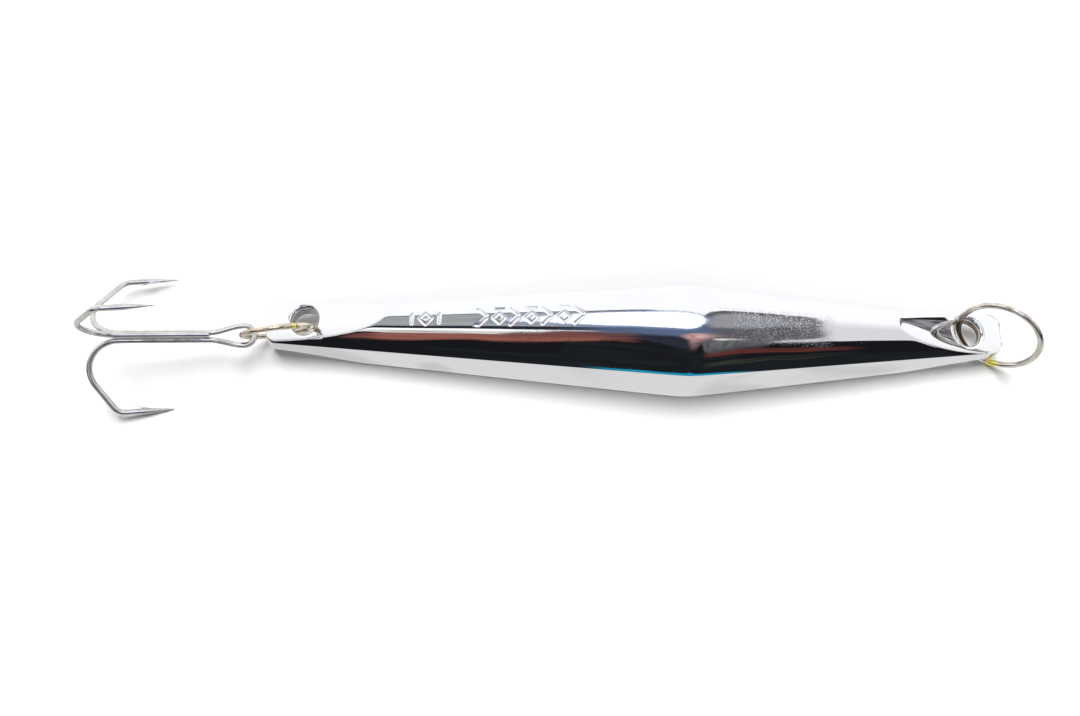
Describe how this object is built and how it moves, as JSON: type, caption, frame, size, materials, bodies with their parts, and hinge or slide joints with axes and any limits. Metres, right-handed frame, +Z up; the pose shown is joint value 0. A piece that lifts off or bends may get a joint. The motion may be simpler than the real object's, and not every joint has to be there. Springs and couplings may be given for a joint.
{
  "type": "spoon lure",
  "caption": "Chrome-plated diamond jig lure with a wire line ring at the nose and a brazed treble hook on a wire ring at the tail.",
  "frame": {"origin": "middle of the body's flat belly, on the surface it lies on", "axes": "+X along the body to the line ring (nose), -X to the treble hook (tail), +Z up from the flat belly, +Y to the body's far side"},
  "size_m": [0.1519, 0.0262, 0.0213],
  "materials": {
    "chrome_plate": "bright plated, lightly scratched",
    "nickel_ring_wire": "tarnished nickel-plated wire",
    "brass_ring_wire": "satin pale brass wire",
    "hook_steel": "satin tinned steel",
    "braze_metal": "dull silver braze"
  },
  "bodies": {
    "jig_body": {"jig_body": "chrome_plate"},
    "line_ring": {"line_ring": "nickel_ring_wire"},
    "hook_ring": {"hook_ring": "brass_ring_wire"},
    "treble_hook": {"double_hook_wire": "hook_steel", "single_hook_wire": "hook_steel", "shank_braze": "braze_metal"}
  },
  "joints": [
    {"name": "line_ring_swing", "type": "hinge", "parent": "jig_body", "child": "line_ring", "pos_m": [0.0541, 0, 0], "axis": [0, 0, 1], "range_deg": [-50, 120]},
    {"name": "hook_ring_swing", "type": "hinge", "parent": "jig_body", "child": "hook_ring", "pos_m": [-0.0535, 0, 0], "axis": [0, 0, 1], "range_deg": [-100, 80]},
    {"name": "hook_pitch", "type": "hinge", "parent": "hook_ring", "child": "treble_hook", "pos_m": [-0.06308, -0.00275, 0.00525], "axis": [-0.0819, 0.9966, 0], "range_deg": [-50, 15]}
  ]
}
